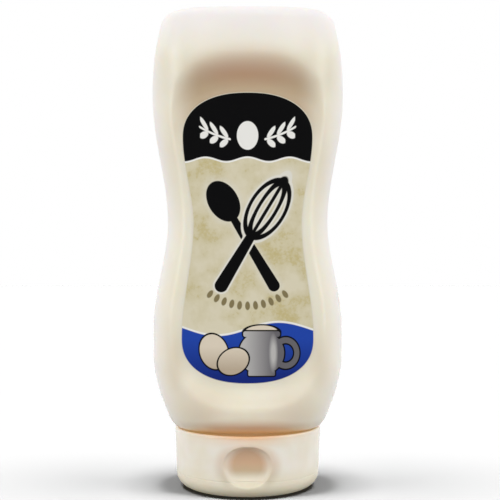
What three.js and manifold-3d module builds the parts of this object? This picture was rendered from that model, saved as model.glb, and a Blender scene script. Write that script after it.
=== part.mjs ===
// A squeeze bottle of mayonnaise that stands on its flip-top cap.
// Millimetres, +Z up, origin at the middle of the cap's underside.
// X is the bottle's width, -Y its front, and it is the same front and back.

import * as THREE from "three";
import { ParametricGeometry } from "three/addons/geometries/ParametricGeometry.js";
import { mergeVertices } from "three/addons/utils/BufferGeometryUtils.js";
import Module from "manifold-3d";

const wasm = await Module();
wasm.setup();

// The whole bottle
const TOTAL_HEIGHT = 192.4;
const GAP = 0.3; // clearance between pieces that touch
const AROUND = 64; // facets round the bottle and the cap

// Widths of the body: two lobes with a waist between them
const UPPER_LOBE = { z: 159, half: 39 };
const WAIST = { z: 108, half: 32.7 };
const LOWER_LOBE = { z: 66, half: 38.5 };
const TAPER_FROM = 53; // the lower lobe narrows to the shoulder below this
const TAPER_BY = 8.6;
const TAPER_POWER = 1.65;
const CROWN_RADIUS = 112; // the sides' curve above the upper lobe

// Depths of the body
const HALF_DEPTH = 29;
const BASE_HALF_DEPTH = 26.5; // at the bottle's own base, which is uppermost here
const BASE_SLOPE_FROM = 172;
const SHOULDER_HALF_DEPTH = 27.4;
const SHOULDER_SLOPE_FROM = 75;
const OVAL = { z: 155, power: 2.5 }; // exponent of the oval plan, 2 is an ellipse
const BASE_OVAL = { z: 178, power: 3.4 }; // boxier towards the base

// Shoulder, neck and base
const SHOULDER_TOP = 36;
const SHOULDER_SIDE_INSET = 2.4;
const SHOULDER_SIDE_ROUND = 4;
const SHOULDER_FRONT_INSET = 5.2;
const NECK_RADIUS = 22;
const NECK_DEPTH = 4.6; // how far the neck sinks into the cap
const BASE_FILLET = 4.6;
const BASE_RIM = 3; // width of the flat that the bottle stands on when turned over
const BASE_DISH = 2.2;

// The label panel: flatter than the body, with an arched step at each end
const PANEL_HALF_DEPTH = 23.6;
const PANEL_RADIUS = 187;
const PANEL_HALF_WIDTH = 30;
const PANEL_TOP = 159.5;
const PANEL_BOTTOM = 43;
const PANEL_ARCH = 18.5; // height of each arched end
const ARCH_POWER = 2.3;
const BROW_HEIGHT = 15; // the upper step, which overhangs the panel
const SILL_HEIGHT = 9.5; // the lower step
const PANEL_BLEND = 1.2; // softens the panel's long edges

// The label, an hourglass with arched ends
const LABEL_TOP = 158.6;
const LABEL_BOTTOM = 44.4;
const LABEL_UPPER = { z: 141, half: 25.7 };
const LABEL_WAIST = { z: 107, half: 21.4 };
const LABEL_LOWER = { z: 62, half: 26.1 };
const LABEL_THICKNESS = 0.3;
const LABEL_COLUMNS = 10;
const LABEL_ROWS = 26;

// The cap
const CAP_HEIGHT = 24.6;
const CAP_TOP_RADIUS = 29.7;
const CAP_LOW_RADIUS = 29.0;
const CAP_FOOT_RADIUS = 22;
const CAP_FOOT_ROUND = 6;
const CAP_RIM_ROUND = 0.7;
const CAP_RIM_WALL = 1.6; // the cap's skirt, with a narrow space between it and the neck
const CAP_RIM_SPACE = 2.2;
const CAP_FOOT_RECESS = { radius: 17, depth: 0.8 };
const DENT = { z: 12.75, halfWidth: 10, halfHeight: 7.8, depth: 4.2 };
const SEAM = { z: 6.8, width: 0.5, depth: 0.6 };
const HINGE = { width: 13, height: 6.4, depth: 0.9 };

const CREAM = new THREE.Color("rgb(233, 227, 210)");
const CAP_CREAM = new THREE.Color("rgb(234, 227, 212)");
const LABEL_GOLD = new THREE.Color("rgb(203, 193, 158)");

const clamp01 = (t) => Math.min(1, Math.max(0, t));
const ease = (t) => clamp01(t) ** 2 * (3 - 2 * clamp01(t));
const between = (z, from, to) => from.half + (to.half - from.half) * ease((z - from.z) / (to.z - from.z));

// A rounded corner: how far the surface has drawn in at a share t of its height
const roundedInset = (t) => 1 - Math.sqrt(1 - clamp01(t) ** 2);

function bodyHalfWidth(z) {
  if (z > UPPER_LOBE.z) return UPPER_LOBE.half - (z - UPPER_LOBE.z) ** 2 / (2 * CROWN_RADIUS);
  if (z > WAIST.z) return between(z, WAIST, UPPER_LOBE);
  if (z > TAPER_FROM) return between(z, WAIST, LOWER_LOBE);
  const taper = TAPER_BY * ((TAPER_FROM - z) / (TAPER_FROM - CAP_HEIGHT)) ** TAPER_POWER;
  return LOWER_LOBE.half - taper - shoulderInset(z, SHOULDER_SIDE_INSET, SHOULDER_SIDE_ROUND);
}

function bodyHalfDepth(z) {
  const towardsBase = ease((z - BASE_SLOPE_FROM) / (TOTAL_HEIGHT - BASE_SLOPE_FROM));
  const towardsShoulder = ease((SHOULDER_SLOPE_FROM - z) / (SHOULDER_SLOPE_FROM - SHOULDER_TOP));
  const slimmed =
    (HALF_DEPTH - BASE_HALF_DEPTH) * towardsBase + (HALF_DEPTH - SHOULDER_HALF_DEPTH) * towardsShoulder;
  return HALF_DEPTH - slimmed - shoulderInset(z, SHOULDER_FRONT_INSET, SHOULDER_TOP - CAP_HEIGHT - GAP);
}

function shoulderInset(z, inset, height) {
  const top = CAP_HEIGHT + GAP + height;
  return inset * roundedInset((top - z) / height);
}

// Height of a superellipse arch over its springing line
function arch(x, halfWidth, height) {
  return height * (1 - clamp01(Math.abs(x) / halfWidth) ** ARCH_POWER) ** (1 / ARCH_POWER);
}

function ovalPower(z) {
  return OVAL.power + (BASE_OVAL.power - OVAL.power) * ease((z - OVAL.z) / (BASE_OVAL.z - OVAL.z));
}

function ovalDepth(x, z, halfWidth, halfDepth) {
  const power = ovalPower(z);
  return halfDepth * (1 - clamp01(Math.abs(x) / halfWidth) ** power) ** (1 / power);
}

const panelDepth = (x) => PANEL_HALF_DEPTH - x ** 2 / (2 * PANEL_RADIUS);

// 1 on the label panel, 0 above and below its arched steps
function panelShare(x, z) {
  const rise = arch(x, PANEL_HALF_WIDTH, PANEL_ARCH) - PANEL_ARCH;
  const brow = ease((z - PANEL_TOP - rise) / BROW_HEIGHT);
  const sill = ease((PANEL_BOTTOM - rise - z) / SILL_HEIGHT);
  return (1 - brow) * (1 - sill);
}

// Depth of the body's surface over x at the height z, with the panel pressed in
function surfaceDepth(x, z, halfWidth, halfDepth) {
  const oval = ovalDepth(x, z, halfWidth, halfDepth);
  const proud = oval - panelDepth(x);
  let cut = Math.max(0, proud);
  if (Math.abs(proud) < PANEL_BLEND) cut = (proud + PANEL_BLEND) ** 2 / (4 * PANEL_BLEND);
  return oval - panelShare(x, z) * cut;
}

// Distance from the axis to the body's surface in a direction
function bodyRadius(angle, z, inset) {
  const across = Math.abs(Math.cos(angle));
  const deep = Math.abs(Math.sin(angle));
  const halfWidth = bodyHalfWidth(z) - inset;
  const halfDepth = bodyHalfDepth(z) - inset;
  const power = ovalPower(z);
  let outer = ((across / halfWidth) ** power + (deep / halfDepth) ** power) ** (-1 / power);
  let inner = outer / 2;
  for (let step = 0; step < 24; step += 1) {
    const middle = (outer + inner) / 2;
    const outside = middle * deep > surfaceDepth(middle * across, z, halfWidth, halfDepth);
    if (outside) outer = middle;
    else inner = middle;
  }
  return outer;
}

// A closed mesh whose shared corners are merged and whose collapsed triangles are gone
function closed(geometry) {
  geometry.deleteAttribute("uv");
  geometry.deleteAttribute("normal");
  const merged = mergeVertices(geometry, 1e-3);
  const corners = [...merged.index.array];
  const kept = [];
  for (let i = 0; i < corners.length; i += 3) {
    const [a, b, c] = corners.slice(i, i + 3);
    if (a !== b && b !== c && c !== a) kept.push(a, b, c);
  }
  merged.setIndex(kept);
  merged.computeVertexNormals();
  return merged;
}

// A closed surface through rings of points; rings that shrink to a point close its ends
function loft(rings, pointsInRing, pointAt) {
  const surface = (u, v, target) => {
    const column = Math.round(u * pointsInRing) % pointsInRing;
    const row = Math.round(v * (rings - 1));
    target.copy(pointAt(row, column));
  };
  return closed(new ParametricGeometry(surface, pointsInRing, rings - 1));
}

function spaced(from, to, count) {
  return Array.from({ length: count }, (_, i) => from + ((to - from) * (i + 1)) / count);
}

// The levels of the bottle's rings, from the end of the neck to the middle of the base
function bottleLevels() {
  const underside = CAP_HEIGHT + GAP;
  const neckEnd = CAP_HEIGHT - NECK_DEPTH;
  const body = (z, inset) => ({ z, radius: (angle) => bodyRadius(angle, z, inset) });
  const levels = [
    { z: neckEnd, radius: () => 0 },
    { z: neckEnd, radius: () => NECK_RADIUS },
    { z: underside, radius: () => NECK_RADIUS },
    body(underside, 0),
  ];
  const shoulder = SHOULDER_TOP - underside;
  for (const share of [0.03, 0.1, 0.2, 0.34, 0.5, 0.72, 1]) {
    levels.push(body(underside + share * shoulder, 0));
  }
  for (const z of spaced(SHOULDER_TOP, LOWER_LOBE.z, 10)) levels.push(body(z, 0));
  for (const z of spaced(LOWER_LOBE.z, PANEL_TOP - PANEL_ARCH, 12)) levels.push(body(z, 0));
  const filletFrom = TOTAL_HEIGHT - BASE_FILLET;
  for (const z of spaced(PANEL_TOP - PANEL_ARCH, filletFrom, 18)) levels.push(body(z, 0));
  for (const turn of spaced(0, Math.PI / 2, 5)) {
    const inset = BASE_FILLET * (1 - Math.cos(turn));
    levels.push(body(filletFrom + BASE_FILLET * Math.sin(turn), inset));
  }
  const dishEdge = BASE_FILLET + BASE_RIM;
  levels.push(body(TOTAL_HEIGHT, dishEdge));
  const dished = (share) => ({
    z: TOTAL_HEIGHT - BASE_DISH * (1 - share ** 2),
    radius: (angle) => share * bodyRadius(angle, TOTAL_HEIGHT, dishEdge + BASE_DISH / 2),
  });
  for (const share of [0.99, 0.6, 0]) levels.push(dished(share));
  return levels;
}

function bottle() {
  const levels = bottleLevels();
  return loft(levels.length, AROUND, (row, column) => {
    const angle = (2 * Math.PI * column) / AROUND;
    const radius = levels[row].radius(angle);
    return new THREE.Vector3(radius * Math.cos(angle), radius * Math.sin(angle), levels[row].z);
  });
}

function labelHalfWidth(z) {
  const power = (share) => (1 - clamp01(share) ** ARCH_POWER) ** (1 / ARCH_POWER);
  if (z > LABEL_UPPER.z) {
    return LABEL_UPPER.half * power((z - LABEL_UPPER.z) / (LABEL_TOP - LABEL_UPPER.z));
  }
  if (z < LABEL_LOWER.z) {
    return LABEL_LOWER.half * power((LABEL_LOWER.z - z) / (LABEL_LOWER.z - LABEL_BOTTOM));
  }
  return between(z, LABEL_WAIST, z > LABEL_WAIST.z ? LABEL_UPPER : LABEL_LOWER);
}

// A thin curved sheet on the panel: each ring runs across its face and back behind it
function label() {
  const middle = (LABEL_TOP + LABEL_BOTTOM) / 2;
  const half = (LABEL_TOP - LABEL_BOTTOM) / 2;
  const perSide = LABEL_COLUMNS + 1;
  return loft(LABEL_ROWS + 1, 2 * perSide, (row, column) => {
    const z = middle - half * Math.cos((Math.PI * row) / LABEL_ROWS);
    const onFace = column < perSide;
    const place = onFace ? column : 2 * perSide - 1 - column;
    const width = row === 0 || row === LABEL_ROWS ? 0 : labelHalfWidth(z);
    const x = width * ((2 * place) / LABEL_COLUMNS - 1);
    return new THREE.Vector3(x, -panelDepth(x) - GAP - (onFace ? LABEL_THICKNESS : 0), z);
  });
}

function solid(geometry) {
  const mesh = closed(geometry);
  const vertProperties = Float32Array.from(mesh.attributes.position.array);
  const triVerts = Uint32Array.from(mesh.index.array);
  return new wasm.Manifold(new wasm.Mesh({ numProp: 3, vertProperties, triVerts }));
}

function geometryOf(manifold) {
  const mesh = manifold.getMesh();
  const geometry = new THREE.BufferGeometry();
  geometry.setAttribute("position", new THREE.BufferAttribute(Float32Array.from(mesh.vertProperties), 3));
  geometry.setIndex(new THREE.BufferAttribute(Uint32Array.from(mesh.triVerts), 1));
  geometry.computeVertexNormals();
  return geometry;
}

// A profile of [radius, height] points turned about the Z axis
function turned(profile) {
  const points = profile.map(([radius, height]) => new THREE.Vector2(radius, height));
  return new THREE.LatheGeometry(points, AROUND).rotateX(Math.PI / 2);
}

function quarter(centreRadius, centreHeight, across, up, from, to, steps) {
  return spaced(from, to, steps).map((turn) => [
    centreRadius + across * Math.cos(turn),
    centreHeight + up * Math.sin(turn),
  ]);
}

function cap() {
  const socketRadius = NECK_RADIUS + GAP;
  const socketFloor = CAP_HEIGHT - NECK_DEPTH - GAP;
  const { radius: recess, depth: recessDepth } = CAP_FOOT_RECESS;
  const footSide = CAP_LOW_RADIUS - CAP_FOOT_RADIUS;
  const rimCentre = CAP_TOP_RADIUS - CAP_RIM_ROUND;
  const shell = solid(
    turned([
      [0, recessDepth],
      [recess - recessDepth, recessDepth],
      [recess, 0],
      [CAP_FOOT_RADIUS, 0],
      ...quarter(CAP_FOOT_RADIUS, CAP_FOOT_ROUND, footSide, CAP_FOOT_ROUND, -Math.PI / 2, 0, 5),
      [CAP_TOP_RADIUS, CAP_HEIGHT - CAP_RIM_ROUND],
      ...quarter(rimCentre, CAP_HEIGHT - CAP_RIM_ROUND, CAP_RIM_ROUND, CAP_RIM_ROUND, 0, Math.PI / 2, 3),
      [CAP_TOP_RADIUS - CAP_RIM_WALL, CAP_HEIGHT],
      [CAP_TOP_RADIUS - CAP_RIM_WALL, CAP_HEIGHT - CAP_RIM_SPACE],
      [socketRadius, CAP_HEIGHT - CAP_RIM_SPACE],
      [socketRadius, socketFloor],
      [0, socketFloor],
    ]),
  );
  const wall = (CAP_TOP_RADIUS + CAP_LOW_RADIUS) / 2;
  const dentShape = new THREE.SphereGeometry(1, 28, 18);
  dentShape.scale(DENT.halfWidth, DENT.depth, DENT.halfHeight).translate(0, -wall, DENT.z);
  const seam = turned([
    [CAP_LOW_RADIUS - SEAM.depth, SEAM.z],
    [CAP_TOP_RADIUS + 1, SEAM.z - SEAM.width],
    [CAP_TOP_RADIUS + 1, SEAM.z + SEAM.width],
    [CAP_LOW_RADIUS - SEAM.depth, SEAM.z],
  ]);
  const hinge = new THREE.BoxGeometry(HINGE.width, 2 * HINGE.depth, HINGE.height);
  hinge.translate(0, wall, SEAM.z);
  return geometryOf(shell.subtract(solid(seam)).subtract(solid(dentShape)).subtract(solid(hinge)));
}

function piece(name, geometry, color, roughness) {
  const material = new THREE.MeshStandardMaterial({ color, roughness, metalness: 0 });
  const mesh = new THREE.Mesh(geometry, material);
  mesh.name = name;
  return mesh;
}

const model = new THREE.Group();
model.add(piece("bottle", bottle(), CREAM, 0.3));
model.add(piece("cap", cap(), CAP_CREAM, 0.35));
model.add(piece("front_label", label(), LABEL_GOLD, 0.4));
const back = piece("back_label", label(), LABEL_GOLD, 0.4);
back.rotation.z = Math.PI;
model.add(back);

export default model;
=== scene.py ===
# %% [markdown]
# A squeeze bottle of mayonnaise, standing on its flip-top cap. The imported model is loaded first:
# it gives every piece its place and its size. The box round it is kept, because what is added
# here must not make the bottle larger.

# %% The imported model
import math

import bmesh
import bpy
import numpy as np
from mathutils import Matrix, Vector


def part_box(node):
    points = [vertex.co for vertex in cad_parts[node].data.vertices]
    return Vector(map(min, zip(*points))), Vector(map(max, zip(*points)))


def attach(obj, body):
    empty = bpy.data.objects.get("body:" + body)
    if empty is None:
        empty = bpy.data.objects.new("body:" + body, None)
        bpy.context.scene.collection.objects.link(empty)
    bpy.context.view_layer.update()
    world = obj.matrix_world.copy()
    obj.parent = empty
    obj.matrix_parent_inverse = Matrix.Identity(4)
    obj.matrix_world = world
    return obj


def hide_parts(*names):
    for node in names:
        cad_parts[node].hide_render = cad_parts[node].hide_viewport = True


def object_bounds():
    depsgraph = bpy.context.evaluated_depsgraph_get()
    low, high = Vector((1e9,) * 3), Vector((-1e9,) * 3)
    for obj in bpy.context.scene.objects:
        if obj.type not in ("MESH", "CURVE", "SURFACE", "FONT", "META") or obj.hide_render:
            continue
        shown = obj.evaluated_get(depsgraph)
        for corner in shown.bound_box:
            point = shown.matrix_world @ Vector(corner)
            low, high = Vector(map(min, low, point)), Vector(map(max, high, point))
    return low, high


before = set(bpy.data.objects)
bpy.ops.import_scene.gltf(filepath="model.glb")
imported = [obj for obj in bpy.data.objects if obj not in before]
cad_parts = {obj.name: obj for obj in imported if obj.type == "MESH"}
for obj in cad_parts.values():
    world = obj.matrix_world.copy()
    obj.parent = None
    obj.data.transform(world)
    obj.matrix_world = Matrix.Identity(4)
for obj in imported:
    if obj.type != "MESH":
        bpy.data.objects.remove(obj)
cad_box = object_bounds()
MM = 0.001
print("packed nodes:", sorted(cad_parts))
print("box in mm:", [[round(c / MM, 1) for c in corner] for corner in cad_box])

# %% [markdown]
# The body is an oval that swells into two lobes with a waist for the hand between them. Front and
# back have a flatter panel for the label, and the body stands over it in a soft arched step at
# each end. A few heights and widths carry that shape. One could push a subdivided box about by
# eye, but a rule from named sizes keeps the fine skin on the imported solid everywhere.

# %% Sizes of the body, in millimetres
TOTAL_HEIGHT = cad_box[1][2] / MM
CAP_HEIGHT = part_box("cap")[1][2] / MM
GAP = 0.3
UPPER_LOBE = (159, 39)
WAIST = (108, 32.7)
LOWER_LOBE = (66, 38.5)
TAPER_FROM, TAPER_BY, TAPER_POWER = 53, 8.6, 1.65
CROWN_RADIUS = 112
HALF_DEPTH = 29
BASE_HALF_DEPTH, BASE_SLOPE_FROM = 26.5, 172
SHOULDER_HALF_DEPTH, SHOULDER_SLOPE_FROM, SHOULDER_TOP = 27.4, 75, 36
SHOULDER_SIDE_INSET, SHOULDER_SIDE_ROUND, SHOULDER_FRONT_INSET = 2.4, 4, 5.2
OVAL, BASE_OVAL = (155, 2.5), (178, 3.4)
NECK_RADIUS, NECK_DEPTH = 22, 4.6
BASE_FILLET, BASE_RIM, BASE_DISH = 4.6, 3, 2.2
PANEL_HALF_DEPTH, PANEL_RADIUS, PANEL_HALF_WIDTH = 23.6, 187, 30
PANEL_TOP, PANEL_BOTTOM, PANEL_ARCH, ARCH_POWER = 159.5, 43, 18.5, 2.3
BROW_HEIGHT, SILL_HEIGHT, PANEL_BLEND = 15, 9.5, 1.2
HALVINGS = 18
print("bottle stands", round(TOTAL_HEIGHT, 1), "mm tall on a cap of", round(CAP_HEIGHT, 1), "mm")


# %% Soft steps between two heights
def clamp01(t):
    return min(1.0, max(0.0, t))


def ease(t):
    t = clamp01(t)
    return t * t * (3 - 2 * t)


def between(z, start, end):
    """A measure that eases from one named height to another."""
    return start[1] + (end[1] - start[1]) * ease((z - start[0]) / (end[0] - start[0]))


# %% How wide and how deep the body is
def shoulder_inset(z, inset, height):
    """How far the shoulder has rounded in towards the cap."""
    share = clamp01((CAP_HEIGHT + GAP + height - z) / height)
    return inset * (1 - math.sqrt(1 - share * share))


def body_half_width(z):
    if z > UPPER_LOBE[0]:
        return UPPER_LOBE[1] - (z - UPPER_LOBE[0]) ** 2 / (2 * CROWN_RADIUS)
    if z > WAIST[0]:
        return between(z, WAIST, UPPER_LOBE)
    if z > TAPER_FROM:
        return between(z, WAIST, LOWER_LOBE)
    taper = TAPER_BY * ((TAPER_FROM - z) / (TAPER_FROM - CAP_HEIGHT)) ** TAPER_POWER
    return LOWER_LOBE[1] - taper - shoulder_inset(z, SHOULDER_SIDE_INSET, SHOULDER_SIDE_ROUND)


def body_half_depth(z):
    to_base = ease((z - BASE_SLOPE_FROM) / (TOTAL_HEIGHT - BASE_SLOPE_FROM))
    to_shoulder = ease((SHOULDER_SLOPE_FROM - z) / (SHOULDER_SLOPE_FROM - SHOULDER_TOP))
    slimmed = (HALF_DEPTH - BASE_HALF_DEPTH) * to_base + (HALF_DEPTH - SHOULDER_HALF_DEPTH) * to_shoulder
    return HALF_DEPTH - slimmed - shoulder_inset(z, SHOULDER_FRONT_INSET, SHOULDER_TOP - CAP_HEIGHT - GAP)


print("half widths, from the lower lobe up:", LOWER_LOBE[1], WAIST[1], UPPER_LOBE[1], "mm")


# %% The panel, and the rule of the body's surface
def arch(x, half_width, height):
    return height * (1 - clamp01(abs(x) / half_width) ** ARCH_POWER) ** (1 / ARCH_POWER)


def panel_depth(x):
    return PANEL_HALF_DEPTH - x * x / (2 * PANEL_RADIUS)


def panel_share(x, z):
    """1 on the label panel, 0 above and below its arched steps."""
    drop = arch(x, PANEL_HALF_WIDTH, PANEL_ARCH) - PANEL_ARCH
    brow = ease((z - PANEL_TOP - drop) / BROW_HEIGHT)
    sill = ease((PANEL_BOTTOM - drop - z) / SILL_HEIGHT)
    return (1 - brow) * (1 - sill)


def surface_depth(x, z, half_width, half_depth):
    power = between(z, OVAL, BASE_OVAL)
    oval = half_depth * (1 - clamp01(x / half_width) ** power) ** (1 / power)
    proud = oval - panel_depth(x)
    cut = max(0.0, proud)
    if abs(proud) < PANEL_BLEND:
        cut = (proud + PANEL_BLEND) ** 2 / (4 * PANEL_BLEND)
    return oval - panel_share(x, z) * cut


def body_radius(angle, z, inset=0.0):
    """Distance from the axis to the surface in one direction, found by halving."""
    across, deep = abs(math.cos(angle)), abs(math.sin(angle))
    half_width, half_depth = body_half_width(z) - inset, body_half_depth(z) - inset
    power = between(z, OVAL, BASE_OVAL)
    outer = ((across / half_width) ** power + (deep / half_depth) ** power) ** (-1 / power)
    inner = outer / 2
    for _ in range(HALVINGS):
        middle = (outer + inner) / 2
        if middle * deep > surface_depth(middle * across, z, half_width, half_depth):
            outer = middle
        else:
            inner = middle
    return outer


print("panel at the waist:", round(body_radius(-math.pi / 2, WAIST[0]), 2), "mm from the axis")

# %% [markdown]
# Both the bottle and its cap are bodies round an upright axis, whether oval or round. So both are
# drawn up from one circle: extrude its edges, move the new ring to its height, and set how far
# each corner stands from the axis. The last ring is drawn together into one point.


# %% Drawing a body up from a circle
def edges_within(verts, parts):
    """The edges among some parts whose two ends are both in a ring."""
    ring = set(verts)
    edges = [part for part in parts if isinstance(part, bmesh.types.BMEdge)]
    return [edge for edge in edges if edge.verts[0] in ring and edge.verts[1] in ring]


def ring_stack(name, levels, around):
    """levels: (height, rule from angle to radius) in millimetres, from one pole to the other."""
    mesh = bmesh.new()
    first_height, _ = levels[0]
    ring = bmesh.ops.create_circle(mesh, segments=around, radius=1.0)["verts"]
    pole_from = list(ring)

    def place(verts, height, rule):
        for vert in verts:
            angle = math.atan2(vert.co.y, vert.co.x)
            radius = rule(angle) * MM
            vert.co = Vector((radius * math.cos(angle), radius * math.sin(angle), height * MM))

    place(ring, levels[1][0], levels[1][1])
    edges = list(mesh.edges)
    for height, rule in levels[2:-1]:
        drawn = bmesh.ops.extrude_edge_only(mesh, edges=edges)["geom"]
        ring = [part for part in drawn if isinstance(part, bmesh.types.BMVert)]
        edges = edges_within(ring, drawn)
        place(ring, height, rule)
    ends = ((pole_from, first_height), (ring, levels[-1][0]))
    for border, height in ends:
        drawn = bmesh.ops.extrude_edge_only(mesh, edges=edges_within(border, mesh.edges))["geom"]
        tip = [part for part in drawn if isinstance(part, bmesh.types.BMVert)]
        bmesh.ops.pointmerge(mesh, verts=tip, merge_co=Vector((0, 0, height * MM)))
    bmesh.ops.recalc_face_normals(mesh, faces=mesh.faces)
    return finished(name, mesh)


# %% Finishing an object, and keeping numbers on its corners
def finished(name, mesh):
    """Turns a bmesh into a smooth object at the origin."""
    for face in mesh.faces:
        face.smooth = True
    data = bpy.data.meshes.new(name)
    mesh.to_mesh(data)
    mesh.free()
    piece = bpy.data.objects.new(name, data)
    bpy.context.scene.collection.objects.link(piece)
    print(name, "has", len(data.polygons), "faces")
    return piece


def paint(piece, name, rule):
    """Keeps at each corner of a mesh what a rule of its place in millimetres says."""
    values = [rule(*(vert.co / MM)) for vert in piece.data.vertices]
    piece.data.attributes.new(name, "FLOAT", "POINT").data.foreach_set("value", values)
    print(name, "runs from", round(min(values), 2), "to", round(max(values), 2))


# %% [markdown]
# The bottle itself. It was blown in a two-part mould, so a fine ridge runs up both narrow sides,
# where the halves met, and over the rounded edge of the base, which is uppermost here. The base is
# dished so that the bottle can also stand on it.

# %% The bottle's parting ridge
QUARTER_TURN = math.pi / 2
PARTING_HEIGHT, PARTING_WIDTH = 0.13, 0.5


def with_parting(rule):
    """Adds the mould's parting ridge on both narrow sides."""

    def raised(angle):
        radius = rule(angle)
        aside = radius * math.sin(angle)
        return radius + PARTING_HEIGHT * math.exp(-((aside / PARTING_WIDTH) ** 2))

    return raised


print("the ridge stands", PARTING_HEIGHT, "mm proud")


# %% The bottle's rings, from the neck up to the base
AROUND = 256
LEVEL_STEP = 0.7
SHOULDER_STEPS, FILLET_STEPS, RIM_STEPS, DISH_STEPS = 18, 10, 4, 12
DISH_POWER = 0.8


def steps(start, end, count):
    """Even steps from one number to another, without the first."""
    return [start + (end - start) * (i + 1) / count for i in range(count)]


def bottle_levels():
    underside = CAP_HEIGHT + GAP
    neck_end = CAP_HEIGHT - NECK_DEPTH
    fillet_from = TOTAL_HEIGHT - BASE_FILLET
    levels = [(neck_end, None), (neck_end, lambda angle: NECK_RADIUS)]
    levels += [(underside, lambda angle: NECK_RADIUS)]
    rounding = [1 - math.cos(turn) for turn in steps(0, QUARTER_TURN, SHOULDER_STEPS)]
    heights = [underside] + [underside + (SHOULDER_TOP - underside) * share for share in rounding]
    heights += steps(heights[-1], fillet_from, round((fillet_from - heights[-1]) / LEVEL_STEP))
    for z in heights:
        levels.append((z, with_parting(lambda angle, z=z: body_radius(angle, z))))
    for turn in steps(0, QUARTER_TURN, FILLET_STEPS):
        z = fillet_from + BASE_FILLET * math.sin(turn)
        inset = BASE_FILLET * (1 - math.cos(turn))
        levels.append((z, with_parting(lambda angle, z=z, inset=inset: body_radius(angle, z, inset))))
    rim = BASE_FILLET + BASE_RIM
    for inset in steps(BASE_FILLET, rim, RIM_STEPS):
        levels.append((TOTAL_HEIGHT, lambda angle, inset=inset: body_radius(angle, TOTAL_HEIGHT, inset)))
    for turn in steps(0, QUARTER_TURN, DISH_STEPS)[:-1]:
        share = math.cos(turn)
        z = TOTAL_HEIGHT - BASE_DISH * (1 - share ** 2) ** DISH_POWER
        levels.append((z, lambda angle, share=share: share * body_radius(angle, TOTAL_HEIGHT, rim)))
    levels.append((TOTAL_HEIGHT - BASE_DISH, None))
    return levels


# %% The bottle
bottle = ring_stack("squeeze_bottle", bottle_levels(), AROUND)
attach(bottle, "root")
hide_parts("bottle")

# %% [markdown]
# Where shade falls on the bottle, its colour is painted a warm shade: under the arched step above
# the label, in a band beside the label, on the flanks of the lower shoulder and on its underside.
# The filling behind the thinly stretched wall gives part of that warmth; the rest is painted shade.
# Right above the cap a painted glow stands in for light that comes through. Where that is follows
# the shape, so it is worked out at each corner of the mesh and kept there. A noise texture could
# not find the steps by itself.

# %% Where painted shade goes on the bottle
BROW_TOP, BROW_FOOT, BROW_FOOT_OVER = 1.3, -1.2, 1.1
BROW_FADE_FROM, BROW_FADE_OVER = 18, 16
BESIDE_LABEL, BESIDE_WIDTH = 28.5, 4.5
BESIDE_UPPER, BESIDE_LOWER = (0.15, 132, 18), (0.3, 53, 12)
LAP_SHARE, LAP_Z, LAP_REACH, LAP_ASIDE, LAP_WIDTH = 0.3, 33, 9, 19, 11
UNDERSIDE_SHARE, UNDERSIDE_TOP, UNDERSIDE_OVER = 0.8, 32.5, 6
GLOW_TOP, GLOW_OVER = 28, 3
CORNER_FROM, CORNER_OVER = 12, 16
UNDERSIDE_CORNER_LOSS, GLOW_CORNER_LOSS = 0.6, 0.5


def bell(value, middle, width):
    return math.exp(-(((value - middle) / width) ** 2))


def rises(value, start, over):
    """Eases from 0 at the start to 1 past it; a negative stretch makes it fall."""
    return ease((value - start) / over)


# Painted shade: how much of the warm shade colour goes on each corner of the bottle.
def painted_bottle_shade(x, y, z):
    aside = abs(x)
    beside = sum(share * bell(z, middle, reach) for share, middle, reach in (BESIDE_UPPER, BESIDE_LOWER))
    beside *= bell(aside, BESIDE_LABEL, BESIDE_WIDTH)
    if z > WAIST[0]:
        drop = arch(x, PANEL_HALF_WIDTH, PANEL_ARCH) - PANEL_ARCH
        climb = (z - PANEL_TOP - drop) / BROW_HEIGHT
        band = ease(BROW_TOP - climb) * rises(climb, BROW_FOOT, BROW_FOOT_OVER)
        band *= 1 - rises(aside, BROW_FADE_FROM, BROW_FADE_OVER)
        return max(band, beside * panel_share(x, z))
    lap = LAP_SHARE * bell(z, LAP_Z, LAP_REACH) * bell(aside, LAP_ASIDE, LAP_WIDTH)
    underside = UNDERSIDE_SHARE * rises(z, UNDERSIDE_TOP, -UNDERSIDE_OVER)
    underside *= 1 - UNDERSIDE_CORNER_LOSS * rises(aside, CORNER_FROM, CORNER_OVER)
    return max(lap, underside, beside)


# Painted light: a glow on the bottle just above the cap, standing in for light that comes through the
# wall.
def painted_neck_glow(x, y, z):
    corner = rises(abs(x), CORNER_FROM, CORNER_OVER)
    return rises(z, GLOW_TOP, -GLOW_OVER) * (1 - GLOW_CORNER_LOSS * corner)


# The painted warm shade is kept on the bottle's corners.
paint(bottle, "painted_light_and_shade", painted_bottle_shade)
# The painted glow is kept on the bottle's corners.
paint(bottle, "painted_glow", painted_neck_glow)

# %% [markdown]
# The cap is moulded in one: a skirt round the neck, and a lid below it that is joined by a thin
# hinge at the back. It is drawn up from a circle like the bottle. The thumb dent at the front is
# pressed into its rings by the rule of an ellipsoid, which keeps the dent's rim softly rounded,
# where a Boolean cut would leave it razor sharp.

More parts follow.
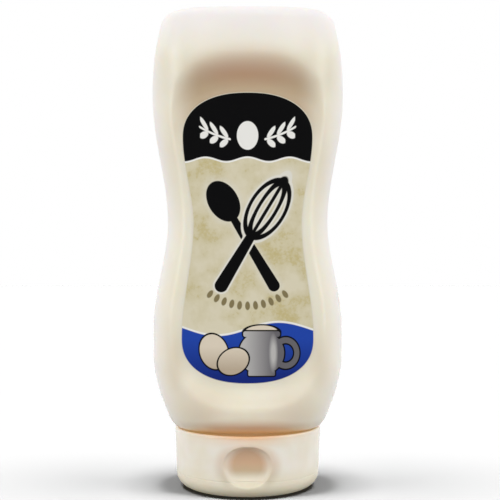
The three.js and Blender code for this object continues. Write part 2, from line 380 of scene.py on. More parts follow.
# %% Sizes of the cap, in millimetres
CAP_TOP_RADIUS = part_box("cap")[1][0] / MM
CAP_LOW_RADIUS = CAP_TOP_RADIUS - 0.7
CAP_FOOT_RADIUS, CAP_FOOT_ROUND = 22, 6
CAP_RIM_ROUND, CAP_RIM_WALL, CAP_RIM_SPACE = 0.7, 1.6, 0.8
FOOT_RECESS_RADIUS, FOOT_RECESS_DEPTH = 17, 0.8
DENT_Z, DENT_HALF_WIDTH, DENT_HALF_HEIGHT, DENT_DEPTH, DENT_LIP = 12.75, 10.3, 7.9, 4.2, 0.5
SEAM_Z, SEAM_HALF_WIDTH, SEAM_DEPTH = 6.8, 0.15, 0.3
HINGE_HALF_WIDTH, HINGE_HALF_HEIGHT, HINGE_DEPTH = 6.5, 3.2, 0.9
HINGE_SIDE_SOFTNESS, HINGE_END_SOFTNESS = 0.6, 0.5
STRAP_HALF_WIDTH, STRAP_DEPTH, STRAP_SOFTNESS = 3.1, 0.3, 0.5
print("cap is", round(2 * CAP_TOP_RADIUS, 1), "mm across")


# %% The cap's side wall
def soft_min(a, b, blend):
    """The lesser of two numbers, with the corner between them rounded."""
    share = clamp01(0.5 + 0.5 * (b - a) / blend)
    return b + (a - b) * share - blend * share * (1 - share)


def dent_radius(angle, z):
    """Distance from the axis to the ellipsoid of the thumb dent, or None beside it."""
    across, forward = math.cos(angle), -math.sin(angle)
    centre = (CAP_TOP_RADIUS + CAP_LOW_RADIUS) / 2
    if forward <= 0:
        return None
    a = (across / DENT_HALF_WIDTH) ** 2 + (forward / DENT_DEPTH) ** 2
    b = -2 * forward * centre / DENT_DEPTH ** 2
    c = (centre / DENT_DEPTH) ** 2 + ((z - DENT_Z) / DENT_HALF_HEIGHT) ** 2 - 1
    inside = b * b - 4 * a * c
    return (-b - math.sqrt(inside)) / (2 * a) if inside > 0 else None


def box_share(value, half, edge):
    """1 within a half width, 0 past its soft edge."""
    return 1 - ease((abs(value) - half + edge) / edge)


def cap_wall(angle, z):
    lean = clamp01((z - CAP_FOOT_ROUND) / (CAP_HEIGHT - CAP_RIM_ROUND - CAP_FOOT_ROUND))
    radius = CAP_LOW_RADIUS + (CAP_TOP_RADIUS - CAP_LOW_RADIUS) * lean
    if z < CAP_FOOT_ROUND:
        up = (CAP_FOOT_ROUND - z) / CAP_FOOT_ROUND
        radius = CAP_FOOT_RADIUS + (CAP_LOW_RADIUS - CAP_FOOT_RADIUS) * math.sqrt(1 - up * up)
    dent = dent_radius(angle, z)
    if dent is not None:
        radius = soft_min(radius, dent, DENT_LIP)
    aside = radius * math.cos(angle)
    if math.sin(angle) > 0:
        recess = box_share(aside, HINGE_HALF_WIDTH, HINGE_SIDE_SOFTNESS)
        recess *= box_share(z - SEAM_Z, HINGE_HALF_HEIGHT, HINGE_END_SOFTNESS)
        strap = box_share(aside, STRAP_HALF_WIDTH, STRAP_SOFTNESS)
        radius -= recess * (HINGE_DEPTH + (STRAP_DEPTH - HINGE_DEPTH) * strap)
    return radius


# %% The cap's rings, from its foot up to the socket for the neck
CAP_AROUND = 512
CAP_STEP = 0.36
FOOT_RINGS, FOOT_STEPS, CAP_RIM_STEPS = (6, 12), 18, 6
TO_SEAM_STEPS, SEAM_MARGIN = 3, 0.1
CAP_RIM_BREAK = 0.2


def cap_levels():
    rim_centre = CAP_HEIGHT - CAP_RIM_ROUND
    skirt_inside = CAP_TOP_RADIUS - CAP_RIM_WALL
    floor = CAP_HEIGHT - CAP_RIM_SPACE
    socket = CAP_HEIGHT - NECK_DEPTH - GAP

    def plain(z, radius):
        return z, lambda angle: radius

    levels = [(FOOT_RECESS_DEPTH, None)]
    recess_rings = [FOOT_RECESS_RADIUS - 2 * FOOT_RECESS_DEPTH, FOOT_RECESS_RADIUS - FOOT_RECESS_DEPTH]
    levels += [plain(FOOT_RECESS_DEPTH, radius) for radius in [*FOOT_RINGS, *recess_rings]]
    levels += [plain(0, FOOT_RECESS_RADIUS), plain(0, CAP_FOOT_RADIUS)]
    heights = [CAP_FOOT_ROUND * (1 - math.cos(turn)) for turn in steps(0, QUARTER_TURN, FOOT_STEPS)]
    seam = [SEAM_Z + SEAM_HALF_WIDTH * s for s in (-1, -0.5, 0, 0.5, 1)]
    heights += steps(heights[-1], seam[0] - SEAM_MARGIN, TO_SEAM_STEPS)
    heights += [*seam, seam[-1] + SEAM_MARGIN]
    heights += steps(heights[-1], rim_centre, round((rim_centre - heights[-1]) / CAP_STEP))
    for z in heights:
        groove = SEAM_DEPTH * max(0.0, 1 - abs(z - SEAM_Z) / SEAM_HALF_WIDTH)
        levels.append((z, lambda angle, z=z, groove=groove: cap_wall(angle, z) - groove))
    for turn in steps(0, QUARTER_TURN, CAP_RIM_STEPS):
        radius = CAP_TOP_RADIUS - CAP_RIM_ROUND * (1 - math.cos(turn))
        levels.append(plain(rim_centre + CAP_RIM_ROUND * math.sin(turn), radius))
    levels += [plain(CAP_HEIGHT, skirt_inside + CAP_RIM_BREAK)]
    levels += [plain(CAP_HEIGHT - CAP_RIM_BREAK, skirt_inside)]
    levels += [plain(floor, skirt_inside), plain(floor, NECK_RADIUS + GAP)]
    levels += [plain(socket, NECK_RADIUS + GAP), plain(socket, NECK_RADIUS / 2), (socket, None)]
    return levels


# %% The cap
cap = ring_stack("flip_top_cap", cap_levels(), CAP_AROUND)
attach(cap, "root")
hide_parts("cap")

# %% [markdown]
# The thumb dent and a ring round its edge are painted a warm shade, where shade falls in the dent
# and beside it. The rim under the bottle is painted a warm light, a painted reflection of the
# bottle's warm underside and of the glow above it. These places too are worked out from the shape
# and kept on the mesh.

# %% Where painted shade and light go on the cap
SUNK_FROM, SUNK_OVER = 0.15, 0.7 * DENT_DEPTH
SUNK_FOOT, SUNK_FOOT_OVER = DENT_Z - 0.8 * DENT_HALF_HEIGHT, 5
RIM_LIGHT_BANDS = ((0.45, 19, 5, 17), (0.45, 23, 1.2, 20))
DENT_EDGE_SHARE, DENT_EDGE_REACH, DENT_EDGE_OVER = 0.45, 1.42, 0.45
PALE_LIP_HALF, PALE_LIP_TOP, PALE_LIP_OVER = 5, 8, 4
TROUGH_FROM, TROUGH_OVER, TROUGH_LIP, TROUGH_DEEP, TROUGH_FAINT = 22.5, 1.5, 0.8, 1.5, 0.3


# Painted shade in and round the thumb dent, and painted light on the rim under the bottle.
def painted_dent_shade_and_rim_light(x, y, z):
    wall = CAP_LOW_RADIUS + (CAP_TOP_RADIUS - CAP_LOW_RADIUS) * z / CAP_HEIGHT
    sunk = clamp01((wall - math.hypot(x, y) - SUNK_FROM) / SUNK_OVER)
    sunk *= rises(z, SUNK_FOOT, SUNK_FOOT_OVER)
    if y > 0 or z < CAP_FOOT_ROUND or z > DENT_Z + DENT_HALF_HEIGHT:
        sunk = 0
    by_rim = 0
    for share, start, over, reach in RIM_LIGHT_BANDS:
        by_rim += share * rises(z, start, over) * bell(x, 0, reach)
    from_dent = math.hypot(x / DENT_HALF_WIDTH, (z - DENT_Z) / DENT_HALF_HEIGHT)
    edge = DENT_EDGE_SHARE * rises(from_dent, DENT_EDGE_REACH, -DENT_EDGE_OVER) * (y < 0)
    edge *= max(rises(abs(x), PALE_LIP_HALF, PALE_LIP_OVER), rises(z, PALE_LIP_TOP, PALE_LIP_OVER))
    return max(sunk, by_rim, edge)


# Painted light: a glow in the cap's trough under the bottle.
def painted_trough_glow(x, y, z):
    inward = CAP_TOP_RADIUS - math.hypot(x, y)
    deeper = TROUGH_FAINT + (1 - TROUGH_FAINT) * rises(inward, TROUGH_LIP, TROUGH_DEEP)
    return rises(z, TROUGH_FROM, TROUGH_OVER) * deeper * ease(inward / TROUGH_LIP)


paint(cap, "painted_light_and_shade", painted_dent_shade_and_rim_light)
paint(cap, "painted_glow", painted_trough_glow)

# %% [markdown]
# Front and back carry the same printed film, cut to an hourglass that follows the bottle inside
# its panel. Each is one grid: its rows are drawn to the label's width at their height and bent to
# the panel, and then the film gets its thickness. How far a point lies from the cut edge is kept
# on the mesh for the printed border.

# %% Sizes of the labels, in millimetres
LABEL_TOP, LABEL_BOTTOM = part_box("front_label")[1][2] / MM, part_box("front_label")[0][2] / MM
LABEL_MIDDLE, LABEL_HALF = (LABEL_TOP + LABEL_BOTTOM) / 2, (LABEL_TOP - LABEL_BOTTOM) / 2
LABEL_UPPER = (141, 25.7)
LABEL_WAIST = (107, 21.4)
LABEL_LOWER = (62, 26.1)
LABEL_THICKNESS = 0.18
LABEL_PROUD = 0.12
LABEL_COLUMNS, LABEL_ROWS = 72, 150
OUTLINE_STEPS = 900
MERGE_WITHIN = 0.01
print("label is", round(2 * LABEL_HALF, 1), "mm tall,", 2 * LABEL_WAIST[1], "mm wide at its waist")


# %% The label's outline
def label_half_width(z):
    def end(share):
        return (1 - clamp01(share) ** ARCH_POWER) ** (1 / ARCH_POWER)

    if z > LABEL_UPPER[0]:
        return LABEL_UPPER[1] * end((z - LABEL_UPPER[0]) / (LABEL_TOP - LABEL_UPPER[0]))
    if z < LABEL_LOWER[0]:
        return LABEL_LOWER[1] * end((LABEL_LOWER[0] - z) / (LABEL_LOWER[0] - LABEL_BOTTOM))
    return between(z, LABEL_WAIST, LABEL_UPPER if z > LABEL_WAIST[0] else LABEL_LOWER)


def outline_points():
    turns = [math.pi * i / OUTLINE_STEPS for i in range(OUTLINE_STEPS + 1)]
    heights = [LABEL_MIDDLE - LABEL_HALF * math.cos(turn) for turn in turns]
    return np.array([(side * label_half_width(z), z) for z in heights for side in (-1, 1)])


outline = outline_points()
print("the outline has", len(outline), "points")


# %% The labels
def label(name, facing):
    """The film on one side of the bottle: -1 is the front, 1 the back."""
    mesh = bmesh.new()
    bmesh.ops.create_grid(mesh, x_segments=LABEL_COLUMNS, y_segments=LABEL_ROWS, size=1.0)
    for vert in mesh.verts:
        z = LABEL_MIDDLE + LABEL_HALF * math.sin(vert.co.y * QUARTER_TURN)
        x = label_half_width(z) * math.sin(vert.co.x * QUARTER_TURN)
        vert.co = Vector((x, facing * (panel_depth(x) + LABEL_PROUD), z)) * MM
    bmesh.ops.remove_doubles(mesh, verts=mesh.verts, dist=MERGE_WITHIN * MM)
    bmesh.ops.recalc_face_normals(mesh, faces=mesh.faces)
    if sum(face.normal.y for face in mesh.faces) * facing < 0:
        bmesh.ops.reverse_faces(mesh, faces=mesh.faces)
    bmesh.ops.solidify(mesh, geom=list(mesh.faces), thickness=LABEL_THICKNESS * MM)
    piece = finished(name, mesh)
    paint(piece, "from_edge", lambda x, y, z: float(np.hypot(*(outline - (x, z)).T).min()))
    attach(piece, "root")
    return piece


front_label = label("front_print", -1)
back_label = label("back_print", 1)
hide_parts("front_label")
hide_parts("back_label")

# %% [markdown]
# Finishes are written as sums. A Field is a number that changes over a surface; adding or
# multiplying Fields adds the matching Math nodes, so a mask reads like the formula that it is.
# Wiring the same nodes by hand would hide the formula.


# %% Colours
def srgb(*levels):
    """A colour as a picture shows it, 0 to 255, made linear for the shader."""

    def linear(level):
        share = level / 255
        return share / 12.92 if level <= 10 else ((share + 0.055) / 1.055) ** 2.4

    return (*(linear(level) for level in levels), 1.0)


print("a middle grey is", round(srgb(128, 128, 128)[0], 3), "to the shader")


# %% Fields
class Field:
    def __init__(self, finish, socket):
        self.finish, self.socket = finish, socket

    def math(self, operation, *others):
        values = dict(enumerate((self, *others)))
        return self.finish.node("ShaderNodeMath", {"operation": operation}, values)

    def __add__(self, other):
        return self.math("ADD", other)

    __radd__ = __add__

    def __mul__(self, other):
        return self.math("MULTIPLY", other)

    __rmul__ = __mul__

    def __sub__(self, other):
        return self.math("SUBTRACT", other)

    def __rsub__(self, other):
        return (self * -1) + other

    def __truediv__(self, other):
        return self.math("DIVIDE", other)

    def __abs__(self):
        return self.math("ABSOLUTE")

    def least(self, other):
        return self.math("MINIMUM", other)

    def most(self, other):
        return self.math("MAXIMUM", other)

    def root(self):
        return self.math("SQRT")

    def clamp(self):
        return self.least(1.0).most(0.0)

    def rise(self, start, over):
        """0 at the start and 1 past it; a negative stretch makes it fall."""
        return ((self - start) / over).clamp()

    def inside(self, softness):
        """1 where this distance is below zero, with a soft edge."""
        return (0.5 - self / softness).clamp()


# %% Finishes
class Finish:
    """A material with one Principled shader, and one way to add any other node."""

    def __init__(self, name):
        self.material = bpy.data.materials.new(name)
        self.material.use_nodes = True
        self.tree = self.material.node_tree
        self.shader = self.tree.nodes["Principled BSDF"]

    def node(self, kind, settings=None, values=None, output=0):
        made = self.tree.nodes.new(kind)
        for name, setting in (settings or {}).items():
            setattr(made, name, setting)
        for name, value in (values or {}).items():
            self.feed(made.inputs[name], value)
        return Field(self, made.outputs[output])

    def feed(self, socket, value):
        if isinstance(value, Field):
            self.tree.links.new(value.socket, socket)
        else:
            socket.default_value = value

    def set(self, **values):
        for name, value in values.items():
            self.feed(self.shader.inputs[name.replace("_", " ")], value)

    def place(self):
        """Object coordinates in millimetres: a vector, and its three numbers."""
        spot = self.node("ShaderNodeTexCoord", output="Object")
        scaled = self.node("ShaderNodeVectorMath", {"operation": "SCALE"}, {0: spot, "Scale": 1 / MM})
        parts = [self.node("ShaderNodeSeparateXYZ", {}, {0: scaled}, output=i) for i in range(3)]
        return scaled, parts

    def noise(self, spot, scale, detail, roughness=0.5):
        values = {"Vector": spot, "Scale": scale, "Detail": detail, "Roughness": roughness}
        return self.node("ShaderNodeTexNoise", {}, values, output="Fac")

    def attribute(self, name):
        """What paint() kept on the mesh under this name."""
        return self.node("ShaderNodeAttribute", {"attribute_name": name}, output="Fac")

    def mix(self, share, under, over):
        return self.node("ShaderNodeMix", {"data_type": "RGBA"}, {0: share, 6: under, 7: over}, output=2)

    def bump(self, height, distance, strength):
        values = {"Height": height, "Distance": distance, "Strength": strength}
        self.feed(self.shader.inputs["Normal"], self.node("ShaderNodeBump", {}, values))


def dress(piece, finish):
    piece.data.materials.clear()
    piece.data.materials.append(finish.material)


# %% [markdown]
# Thick cream polyethylene with mayonnaise behind it: light goes in and comes out warmer, so it is
# given a little subsurface scattering. The filling clings unevenly to the wall and shows as faint
# paler and yellower clouds. Near the base, where there is air behind the wall, it is whiter, and
# the narrow sides are painted whiter as a painted highlight. Where shade falls the colour turns to
# the painted warm shade, and right above the cap a painted glow stands in for light that comes
# through. The blown skin is glossy but not flat: it ripples very slightly.

# %% The bottle's plastic
CREAM = srgb(240, 234, 215)
CREAM_DEEP = srgb(236, 227, 203)
AIR_AND_HIGHLIGHT_WHITE = srgb(247, 242, 240)
AIR_FROM, AIR_OVER = 171, 18
SIDE_HIGHLIGHT_FROM, SIDE_HIGHLIGHT_OVER, SIDE_HIGHLIGHT_SHARE = 21, 10, 0.75
# Colours of the painted warm shade: redder high on the step and low on the shoulder near the middle,
# olive elsewhere.
SHADE_WARM = srgb(195, 157, 125)
SHADE_OLIVE = srgb(196, 172, 140)
RED_ABOVE, RED_BELOW, RED_ASIDE = (160, 6), (60, -10), (30, -20)
# The painted glow's colour, and none where there is no glow.
PAINTED_GLOW, DARK = srgb(106, 85, 51), srgb(0, 0, 0)
bottle_finish = Finish("cream_polyethylene")
spot, (x, y, z) = bottle_finish.place()
clouds = bottle_finish.noise(spot, 0.045, 3.0, 0.55)
grain = bottle_finish.noise(spot, 1.6, 2.0, 0.6)
ripple = bottle_finish.noise(spot, 0.11, 1.0)
cream = bottle_finish.mix(((clouds - 0.42) * 2.2).clamp(), CREAM, CREAM_DEEP)
# Whiter near the base, where air is behind the wall, and a painted highlight on the narrow sides.
air_and_side_highlight = z.rise(AIR_FROM, AIR_OVER).most(abs(y).rise(SIDE_HIGHLIGHT_FROM, -SIDE_HIGHLIGHT_OVER) * SIDE_HIGHLIGHT_SHARE)
cream = bottle_finish.mix(air_and_side_highlight, cream, AIR_AND_HIGHLIGHT_WHITE)
red = z.rise(*RED_ABOVE).most(z.rise(*RED_BELOW)) * abs(x).rise(*RED_ASIDE)
shade_tone = bottle_finish.mix(red, SHADE_OLIVE, SHADE_WARM)
# Painted shade: the warm shade colour replaces the cream where the mesh says.
cream = bottle_finish.mix(bottle_finish.attribute("painted_light_and_shade"), cream, shade_tone)
bottle_finish.set(
    Base_Color=cream,
    Roughness=0.33 + grain * 0.1,
    IOR=1.5,
    Subsurface_Weight=0.35,
    Subsurface_Radius=(1.0, 0.62, 0.35),
    Subsurface_Scale=0.006,
    # Painted glow: the emission stands in for light coming through the wall.
    Emission_Color=bottle_finish.mix(bottle_finish.attribute("painted_glow"), DARK, PAINTED_GLOW),
    Emission_Strength=1.0,
)
bottle_finish.bump(ripple + grain * 0.02, 0.0006, 0.35)
dress(bottle, bottle_finish)
print("cream of the bottle:", [round(c, 3) for c in CREAM[:3]])

# %% [markdown]
# The cap is injection moulded from a denser plastic of nearly the same cream. It is a shade
# yellower and a little less glossy, with the fine even grain of a tool that was blasted. Towards its
# foot it is painted darker and yellower, a painted shade, and it takes the painted shade and light
# of the last cells.

# %% The cap's plastic
CAP_CREAM = srgb(245, 239, 227)
CAP_CREAM_DEEP = srgb(239, 231, 213)
CAP_FOOT_SHADE = srgb(232, 222, 192)
# Colours of the painted shade in the dent and of the painted light on the rim.
DENT_SHADE_WARM, DENT_SHADE_LOW, RIM_PAINTED_LIGHT = srgb(214, 178, 145), srgb(194, 177, 144), srgb(238, 186, 140)
FOOT_SHADE_TONE, DENT_TONE, RIM_TONE = (12, -12), (9, 5), (19, 3)
cap_finish = Finish("cream_polypropylene")
spot, (x, y, z) = cap_finish.place()
flow = cap_finish.noise(spot, 0.08, 2.0)
grain = cap_finish.noise(spot, 3.5, 2.0, 0.6)
cream = cap_finish.mix(((flow - 0.4) * 3).clamp(), CAP_CREAM, CAP_CREAM_DEEP)
# Painted shade: darker and yellower towards the foot.
cream = cap_finish.mix(z.rise(*FOOT_SHADE_TONE), cream, CAP_FOOT_SHADE)
# Painted shade and light: the dent's shade and the rim's light replace the cream where the mesh says.
dent_shade_and_rim_light = cap_finish.mix(z.rise(*DENT_TONE), DENT_SHADE_LOW, DENT_SHADE_WARM)
dent_shade_and_rim_light = cap_finish.mix(z.rise(*RIM_TONE), dent_shade_and_rim_light, RIM_PAINTED_LIGHT)
cream = cap_finish.mix(cap_finish.attribute("painted_light_and_shade"), cream, dent_shade_and_rim_light)
cap_finish.set(
    Base_Color=cream,
    Roughness=0.3 + grain * 0.12,
    IOR=1.49,
    Subsurface_Weight=0.3,
    Subsurface_Radius=(1.0, 0.6, 0.33),
    Subsurface_Scale=0.004,
    # Painted glow: the emission stands in for light coming through the bottle's wall.
    Emission_Color=cap_finish.mix(cap_finish.attribute("painted_glow"), DARK, PAINTED_GLOW),
    Emission_Strength=1.0,
)
cap_finish.bump(grain, 0.00005, 0.4)
dress(cap, cap_finish)
print("cream of the cap:", [round(c, 3) for c in CAP_CREAM[:3]])

# %% [markdown]
# The print is made of plain shapes, each a distance that is negative inside it: ellipses, strokes
# and boxes. Shapes join by taking the lesser distance, as paper cut-outs overlap.


# %% Shapes for the print
def turned(x, z, at, degrees):
    """The place in a shape's own frame, moved to its middle and turned."""
    sine, cosine = math.sin(math.radians(degrees)), math.cos(math.radians(degrees))
    dx, dz = x - at[0], z - at[1]
    return dx * cosine + dz * sine, dz * cosine - dx * sine


def ellipse(u, v, across, up):
    return ((u * u / across ** 2 + v * v / up ** 2).root() - 1) * min(across, up)


def stroke(u, v, start, end, from_radius, to_radius):
    """A line with round ends that may swell from one end to the other."""
    du, dv = u - start[0], v - start[1]
    eu, ev = end[0] - start[0], end[1] - start[1]
    share = ((du * eu + dv * ev) / (eu * eu + ev * ev)).clamp()
    ru, rv = du - share * eu, dv - share * ev
    return (ru * ru + rv * rv).root() - from_radius - share * (to_radius - from_radius)


def rounded_box(u, v, half_u, half_v, corner):
    du, dv = (abs(u) - (half_u - corner)).most(0.0), (abs(v) - (half_v - corner)).most(0.0)
    return (du * du + dv * dv).root() - corner


def ring(distance, half_width):
    return abs(distance) - half_width


# %% [markdown]
# The label has three fields, as printed films often do: black above, mottled gold in the middle
# and blue below. On them are only kitchen things and no words: an egg between two sprigs, a spoon
# and a whisk, and a jug with two eggs. Leaves and marks repeat by a rule along their line.

# %% The label's fields
INK_BLACK = srgb(4, 4, 5)
INK_WHITE = srgb(238, 237, 232)
GOLD_PALE = srgb(220, 212, 186)
GOLD_MID = srgb(207, 197, 160)
GOLD_DEEP = srgb(198, 184, 134)
BLUE = srgb(35, 70, 168)
BLUE_DEEP = srgb(22, 40, 118)
WAVE_Z, WAVE_RISE, WAVE_STEP = 66.0, 2.6, 0.13
BLACK_Z, RIPPLE_RISE, RIPPLE_STEP = 132.3, 0.9, 0.38
SHARP, CRISP = 0.2, 0.25

label_finish = Finish("printed_film")
spot, (x, y, z) = label_finish.place()
clouds = label_finish.noise(spot, 0.07, 4.0, 0.6)
flecks = label_finish.noise(spot, 0.9, 3.0, 0.65)
gold = label_finish.mix(((clouds - 0.42) * 5).clamp(), GOLD_PALE, GOLD_MID)
gold = label_finish.mix(((clouds + flecks * 0.35 - 0.74) * 8).clamp(), gold, GOLD_DEEP)
wave = label_finish.node("ShaderNodeMath", {"operation": "SINE"}, {0: x * WAVE_STEP})
over_blue = z - WAVE_Z - wave * WAVE_RISE
wave = label_finish.node("ShaderNodeMath", {"operation": "COSINE"}, {0: x * RIPPLE_STEP})
under_black = BLACK_Z - z + wave * RIPPLE_RISE

# %% A spoon and a whisk, crossed on the gold
HALO = srgb(226, 223, 212)
CROSSING, TOOL_TURN = (0.0, 100.0), 31
HANDLE_END, HALO_WIDTH, TOOL_EDGE = (0, -20), 4.6, 0.7
SPOON_BOWL, SPOON_MIDDLE, SPOON_NECK = (5.9, 8.6), 18.5, (0, 12)
WHISK_NECK, WHISK_TIP = (0, 3), (0, 27)
WIRES, WIRES_MIDDLE, WIRES_HALF_HEIGHT, WIRE = (6.8, 3.4), 15, 12.4, 0.65
SPOON_HANDLE, WHISK_HANDLE = (2.3, 1.4), (2.6, 1.8)
u, v = turned(x, z, CROSSING, TOOL_TURN)
spoon = ellipse(u, v - SPOON_MIDDLE, *SPOON_BOWL)
spoon = spoon.least(stroke(u, v, HANDLE_END, SPOON_NECK, *SPOON_HANDLE))
u, v = turned(x, z, CROSSING, -TOOL_TURN)
whisk = stroke(u, v, HANDLE_END, WHISK_NECK, *WHISK_HANDLE)
whisk = whisk.least(stroke(u, v, WHISK_NECK, WHISK_TIP, WIRE, WIRE))
for half_width in WIRES:
    whisk = whisk.least(ring(ellipse(u, v - WIRES_MIDDLE, half_width, WIRES_HALF_HEIGHT), WIRE))
art = label_finish.mix(spoon.least(whisk).inside(HALO_WIDTH), gold, HALO)
art = label_finish.mix(spoon.inside(SHARP), art, INK_BLACK)
art = label_finish.mix((whisk - TOOL_EDGE).inside(SHARP), art, HALO)
art = label_finish.mix(whisk.inside(SHARP), art, INK_BLACK)
print("the print has", len(label_finish.tree.nodes), "nodes with the spoon and the whisk")

# %% A garland of marks under them
OLIVE = srgb(132, 120, 86)
GARLAND_TOP, GARLAND_RADIUS = (0.0, 101.0), 26.0
MARK_TURN, GARLAND_TURN, MARK = 0.12, 0.66, (0.95, 1.7)
right, down = x - GARLAND_TOP[0], GARLAND_TOP[1] - z
beyond = (right * right + down * down).root() - GARLAND_RADIUS
angle = label_finish.node("ShaderNodeMath", {"operation": "ARCTAN2"}, {0: right, 1: down})
limits = {0: angle, 1: MARK_TURN / 2, 2: -MARK_TURN / 2}
along = label_finish.node("ShaderNodeMath", {"operation": "WRAP"}, limits) * GARLAND_RADIUS
marks = ellipse(along, beyond, *MARK).most((abs(angle) - GARLAND_TURN) * GARLAND_RADIUS)
art = label_finish.mix(marks.inside(CRISP), art, OLIVE)
print("the garland has", round(2 * GARLAND_TURN / MARK_TURN), "marks")

# %% A jug and two eggs on the blue
EGG, EGG_SHADE = srgb(222, 210, 190), srgb(186, 170, 148)
TIN, TIN_SHADE = srgb(186, 184, 182), srgb(104, 102, 106)
JUG_X, JUG_Z, JUG_BELLY, JUG_SHOULDER = 5.5, 56.5, (8.8, 8.4), 6.6
JUG_LIP_UP, JUG_LIP = 7.4, (7.2, 1.1, 0.9)
JUG_FOOT_DOWN, JUG_FOOT = 7.9, (5.2, 1.0, 0.5)
JUG_HANDLE_ASIDE, JUG_HANDLE, JUG_HANDLE_WIDTH = 9.4, (4.4, 5.0), 1.0
JUG_SHINE_ASIDE, JUG_SHINE, SHINE_SOFTNESS = 4.6, (1.3, 5.6), 1.2
JUG_CREAM_UP, JUG_CREAM = 8.2, (6.4, 2.6)
JUG_SHADED, EGG_SHADED, BLUE_DEEPENS = (-7, 12), (50, 9), (46, 16)
EGGS = (((-13.2, 57.0), 18, (5.4, 6.9)), ((-5.6, 53.2), -62, (4.9, 6.2)))
PALE_LINE, INK_LINE = 0.5, 0.55
blue = label_finish.mix(z.rise(*BLUE_DEEPENS), BLUE_DEEP, BLUE)
art = label_finish.mix((abs(over_blue) - PALE_LINE).inside(CRISP), art, INK_WHITE)
art = label_finish.mix((over_blue + 0.3).inside(CRISP), art, blue)
across, up = x - JUG_X, z - JUG_Z
jug = ellipse(across, up, *JUG_BELLY).most(up - JUG_SHOULDER)
jug = jug.least(rounded_box(across, up - JUG_LIP_UP, *JUG_LIP))
jug = jug.least(rounded_box(across, up + JUG_FOOT_DOWN, *JUG_FOOT))
jug = jug.least(ring(ellipse(across - JUG_HANDLE_ASIDE, up, *JUG_HANDLE), JUG_HANDLE_WIDTH))
cream = ellipse(across, up - JUG_CREAM_UP, *JUG_CREAM)
shine = ellipse(across - JUG_SHINE_ASIDE, up, *JUG_SHINE)
tin = label_finish.mix(across.rise(*JUG_SHADED), TIN, TIN_SHADE)
tin = label_finish.mix(shine.inside(SHINE_SOFTNESS), tin, TIN)
egg_shell = label_finish.mix(z.rise(*EGG_SHADED), EGG_SHADE, EGG)
drawn = [(cream, EGG), (jug, tin)]
for at, turn, egg in EGGS:
    drawn.append((ellipse(*turned(x, z, at, turn), *egg), egg_shell))
for shape, ink in drawn:
    art = label_finish.mix((shape - INK_LINE).inside(SHARP), art, INK_BLACK)
    art = label_finish.mix(shape.inside(SHARP), art, ink)
print("the print has", len(label_finish.tree.nodes), "nodes with the jug and its eggs")

# %% An egg between two sprigs on the black
SPRIG_Z, SPRIG_BEND = 139.4, 0.016
SPRIG_FROM, SPRIG_TO, LEAF_STEP, STEM = 7.0, 18.6, 3.9, 0.45
LEAF, LEAF_MIDDLE, LEAF_TURN, FIRST_LEAF = (1.0, 2.4), (2.3, 2.2), -40, 0.4
WHITE_EGG, WHITE_EGG_UP = (4.2, 5.6), 2.2
art = label_finish.mix((abs(under_black) - PALE_LINE).inside(CRISP), art, INK_WHITE)
art = label_finish.mix((under_black + 0.2).inside(SHARP), art, INK_BLACK)
aside = abs(x)
lift = z - SPRIG_Z - aside * aside * SPRIG_BEND
limits = {0: aside - SPRIG_FROM, 1: LEAF_STEP, 2: 0.0}
along = label_finish.node("ShaderNodeMath", {"operation": "WRAP"}, limits)
leaves = ellipse(*turned(along, abs(lift), LEAF_MIDDLE, LEAF_TURN), *LEAF)
leaves = leaves.most(aside - SPRIG_TO).most(SPRIG_FROM + FIRST_LEAF - aside)
stem = stroke(aside, lift, (SPRIG_FROM, 0), (SPRIG_TO, 0), STEM, STEM)
white = leaves.least(stem).least(ellipse(x, z - SPRIG_Z - WHITE_EGG_UP, *WHITE_EGG))
art = label_finish.mix(white.inside(SHARP), art, INK_WHITE)
print("each sprig has", 2 * int((SPRIG_TO - SPRIG_FROM) / LEAF_STEP + 0.5), "leaves")

# %% [markdown]
# The print stops just short of the cut, so the film ends in a narrow plain edge. A printed film
# is duller than the bottle round it, so its specular level is low and its roughness high.

# %% The label's finish
FILM_EDGE = srgb(226, 219, 200)
EDGE_WIDTH, EDGE_SOFTNESS = 0.35, 0.2
edge = label_finish.attribute("from_edge").rise(EDGE_WIDTH, -EDGE_SOFTNESS)
label_finish.set(
    Base_Color=label_finish.mix(edge, art, FILM_EDGE),
    Roughness=0.5 + flecks * 0.1,
    IOR=1.5,
    Specular_IOR_Level=0.05,
)
label_finish.bump(flecks, 0.00003, 0.4)
dress(front_label, label_finish)
dress(back_label, label_finish)
print("the print has", len(label_finish.tree.nodes), "nodes")

# %% [markdown]
# The bottle stands on a floor that a studio burns out to white. The floor here is dark grey under
# very strong suns. It comes out as white as a pale floor under weaker ones, but it throws little
# of the bottle's own light back, which would fill its shadow. It throws none on the bottle.

# %% The floor
FLOOR_HALF = 2.5
FLOOR_GREY = srgb(80, 80, 80)
floor_mesh = bmesh.new()
bmesh.ops.create_grid(floor_mesh, x_segments=1, y_segments=1, size=FLOOR_HALF)
floor = finished("studio_floor", floor_mesh)
floor_finish = Finish("white_floor")
floor_finish.set(Base_Color=FLOOR_GREY, Roughness=0.8, Specular_IOR_Level=0.0)
dress(floor, floor_finish)
floor.visible_diffuse = False


# %% Making a light, and keeping it to some pieces
def light(name, kind, place, aim, power, size):
    """A sun, whose size is an angle, or a soft lamp, whose size is a width and a height."""
    lamp = bpy.data.lights.new(name, kind)
    lamp.energy = power
    if kind == "AREA":
        lamp.shape = "RECTANGLE"
        lamp.size, lamp.size_y = size
    else:
        lamp.angle = size
    made = bpy.data.objects.new(name, lamp)
    made.location = place
    made.rotation_euler = (Vector(aim) - Vector(place)).to_track_quat("-Z", "Y").to_euler()
    bpy.context.scene.collection.objects.link(made)
    return made


def lit_together(name, pieces):
    """The pieces that a lamp is kept to, as flags keep its light off the rest of a studio."""
    group = bpy.data.collections.new(name)
    for piece in pieces:
        group.objects.link(piece)
    return group


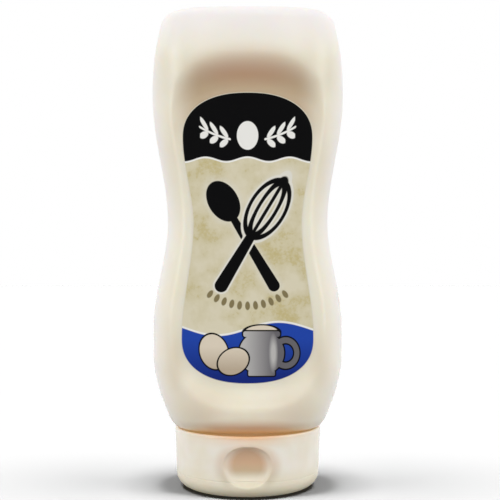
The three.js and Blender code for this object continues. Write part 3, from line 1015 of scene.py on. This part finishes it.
on_floor = lit_together("lit_by_suns", [floor])
on_bottle = lit_together("lit_by_softboxes", [bottle, cap, front_label, back_label])

# %% [markdown]
# Three suns light only the floor: a small one straight above, and a wider one leaning in from each
# side, which throw the narrow shadows that lie left and right of the cap. A sun's light is as
# strong far away, so the floor stays white to the horizon.

# %% The lights on the floor
SUN_AHEAD = 0.04
FLOOR_SUNS = ((0, 18.8, 12), (20, 10.9, 25), (-20, 10.9, 25))
for lean, power, spread in FLOOR_SUNS:
    turn = math.radians(lean)
    towards = (math.sin(turn), -SUN_AHEAD, math.cos(turn))
    sun = light("floor_sun", "SUN", towards, (0, 0, 0), power, math.radians(spread))
    sun.light_linking.receiver_collection = on_floor
print("suns on the floor:", len(FLOOR_SUNS))

# %% [markdown]
# The bottle has lights of its own, kept off the floor. Three fills as wide as a sky light it
# softly from above, in front and behind. A softbox at each side shapes its flanks, and a narrow
# strip at each side of the camera draws the pale streaks on its upper half.

# %% The lights on the bottle
MIDDLE = (0, 0, 0.09)
SKY_ANGLE = math.radians(170)
FILLS = (("sky", (0, 0, 1), 0.6), ("front_fill", (0, -1, 0.2), 0.95), ("back_fill", (0, 1, 0.2), 2.4))
LAMPS = (
    ("softbox", (0.85, -0.45, 0.25), (0.3, 0.6), 3.4),
    ("strip", (0.30, -0.95, 0.45), (0.04, 0.7), 1.1),
)
for name, towards, power in FILLS:
    fill = light(name, "SUN", towards, (0, 0, 0), power, SKY_ANGLE)
    fill.light_linking.receiver_collection = on_bottle
for name, (aside, ahead, up), size, power in LAMPS:
    for side in (-1, 1):
        lamp = light(name, "AREA", (side * aside, ahead, up), MIDDLE, power, size)
        lamp.light_linking.receiver_collection = on_bottle
print("lights on the bottle:", len(FILLS) + 2 * len(LAMPS))

# %% [markdown]
# The room is white to the camera, as in the photo, but gives off only a little light, because the
# lamps already carry the light that its walls would throw back.

# %% The room
ROOM_LIGHT = 0.05
world = bpy.data.worlds.new("white_room")
world.use_nodes = True
room = world.node_tree
seen = room.nodes.new("ShaderNodeLightPath").outputs["Is Camera Ray"]
strength = room.nodes.new("ShaderNodeMapRange")
strength.inputs["To Min"].default_value = ROOM_LIGHT
room.links.new(seen, strength.inputs["Value"])
room.links.new(strength.outputs["Result"], room.nodes["Background"].inputs["Strength"])
room.nodes["Background"].inputs["Color"].default_value = (1, 1, 1, 1)
bpy.context.scene.world = world
bpy.context.scene.view_settings.view_transform = "Standard"
print("the room gives off", ROOM_LIGHT, "of the light that it shows")

# %% [markdown]
# The camera stands level with the middle of the bottle, less than half a metre away, and looks
# straight at the label.

# %% The camera
CAMERA_DISTANCE, CAMERA_HEIGHT, CAMERA_ASIDE, LENS = 0.450, 0.0968, 0.00095, 78.5
camera_data = bpy.data.cameras.new("camera")
camera_data.lens = LENS
camera_data.sensor_width = 36
camera = bpy.data.objects.new("camera", camera_data)
camera.location = (CAMERA_ASIDE, -CAMERA_DISTANCE, CAMERA_HEIGHT)
camera.rotation_euler = (math.pi / 2, 0, 0)
bpy.context.scene.collection.objects.link(camera)
bpy.context.scene.camera = camera
print("the camera stands", round(CAMERA_DISTANCE / MM), "mm away")
